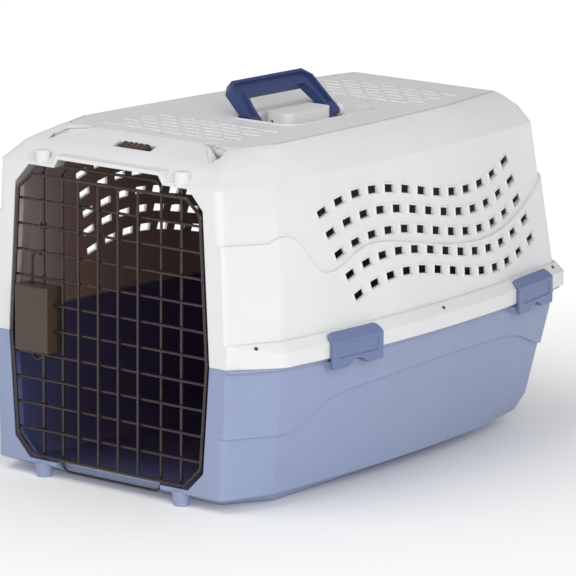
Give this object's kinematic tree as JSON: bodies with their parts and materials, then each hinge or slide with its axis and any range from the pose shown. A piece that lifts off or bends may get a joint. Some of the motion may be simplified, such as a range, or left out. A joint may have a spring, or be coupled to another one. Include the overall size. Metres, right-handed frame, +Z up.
{
  "type": "pet transport carrier",
  "caption": "Hard plastic pet carrier: two clipped shells, hinged wire front door with squeeze bolts, top lid with folding handle and sliding catches.",
  "frame": {"origin": "on the resting plane, under the middle of the body", "axes": "-Y out of the wire front door, +X to the carrier's right-hand side as seen from the front, +Z up"},
  "size_m": [0.4066, 0.576, 0.3896],
  "materials": {
    "shell_light": "fine-grained light grey moulded plastic",
    "shell_blue": "fine-grained periwinkle blue moulded plastic",
    "latch_blue": "satin slate blue moulded plastic",
    "handle_navy": "satin navy moulded plastic",
    "dark_plastic": "satin dark brown moulded plastic",
    "door_wire": "dark bronze coated steel wire",
    "steel": "plain drawn steel"
  },
  "bodies": {
    "shells": {"bottom_shell": "shell_blue", "top_shell": "shell_light", "slider_keeper_front": "shell_light", "slider_keeper_rear": "shell_light", "lid_pin_front": "steel", "lid_pin_rear": "steel", "latch_pin_front_right": "steel", "latch_pin_rear_right": "steel", "latch_pin_front_left": "steel", "latch_pin_rear_left": "steel"},
    "front_door": {"door_grille": "door_wire", "door_loop": "door_wire", "door_hinge_rod": "door_wire", "rod_guide_upper": "door_wire", "rod_guide_lower": "door_wire", "latch_case": "dark_plastic", "latch_case_back": "dark_plastic", "upper_bolt_spring": "steel", "lower_bolt_spring": "steel"},
    "upper_bolt": {"upper_bolt": "door_wire"},
    "lower_bolt": {"lower_bolt": "door_wire"},
    "top_lid": {"top_lid": "shell_light", "handle_pin_front": "handle_navy", "handle_pin_rear": "handle_navy"},
    "carry_handle": {"carry_handle": "handle_navy"},
    "lid_slider_front": {"lid_slider_front": "dark_plastic"},
    "lid_slider_rear": {"lid_slider_rear": "dark_plastic"},
    "side_latch_front_right": {"side_latch_front_right": "latch_blue"},
    "side_latch_rear_right": {"side_latch_rear_right": "latch_blue"},
    "side_latch_front_left": {"side_latch_front_left": "latch_blue"},
    "side_latch_rear_left": {"side_latch_rear_left": "latch_blue"}
  },
  "joints": [
    {"name": "front_door_swing", "type": "hinge", "parent": "shells", "child": "front_door", "pos_m": [0.092, -0.2772, 0.16], "axis": [0, 0, 1], "range_deg": [0, 120]},
    {"name": "upper_bolt_slide", "type": "slide", "parent": "front_door", "child": "upper_bolt", "axis": [0, 0, 1], "range_m": [0, 0.008], "deforming": ["upper_bolt_spring"]},
    {"name": "lower_bolt_slide", "type": "slide", "parent": "front_door", "child": "lower_bolt", "axis": [0, 0, -1], "range_m": [0, 0.008], "deforming": ["lower_bolt_spring"]},
    {"name": "top_lid_swing", "type": "hinge", "parent": "shells", "child": "top_lid", "pos_m": [-0.08, 0, 0.347], "axis": [0, -1, 0], "range_deg": [0, 105]},
    {"name": "carry_handle_fold", "type": "hinge", "parent": "top_lid", "child": "carry_handle", "pos_m": [0.017, -0.0125, 0.348], "axis": [0, 1, 0], "range_deg": [-6, 130]},
    {"name": "lid_slider_front_slide", "type": "slide", "parent": "shells", "child": "lid_slider_front", "axis": [1, 0, 0], "range_m": [-0.008, 0.008]},
    {"name": "lid_slider_rear_slide", "type": "slide", "parent": "shells", "child": "lid_slider_rear", "axis": [1, 0, 0], "range_m": [-0.008, 0.008]},
    {"name": "side_latch_front_right_swing", "type": "hinge", "parent": "shells", "child": "side_latch_front_right", "pos_m": [0.19521, -0.13474, 0.139], "axis": [0.0282, 0.9996, 0], "range_deg": [0, 95]},
    {"name": "side_latch_rear_right_swing", "type": "hinge", "parent": "shells", "child": "side_latch_rear_right", "pos_m": [0.16937, 0.19716, 0.139], "axis": [-0.1789, 0.9839, 0], "range_deg": [0, 95]},
    {"name": "side_latch_front_left_swing", "type": "hinge", "parent": "shells", "child": "side_latch_front_left", "pos_m": [-0.19521, -0.13474, 0.139], "axis": [0.0282, -0.9996, 0], "range_deg": [0, 95]},
    {"name": "side_latch_rear_left_swing", "type": "hinge", "parent": "shells", "child": "side_latch_rear_left", "pos_m": [-0.16937, 0.19716, 0.139], "axis": [-0.1789, -0.9839, 0], "range_deg": [0, 95]}
  ],
  "couplings": [
    {"joint": "lower_bolt_slide", "follows": "upper_bolt_slide", "ratio": 1}
  ]
}
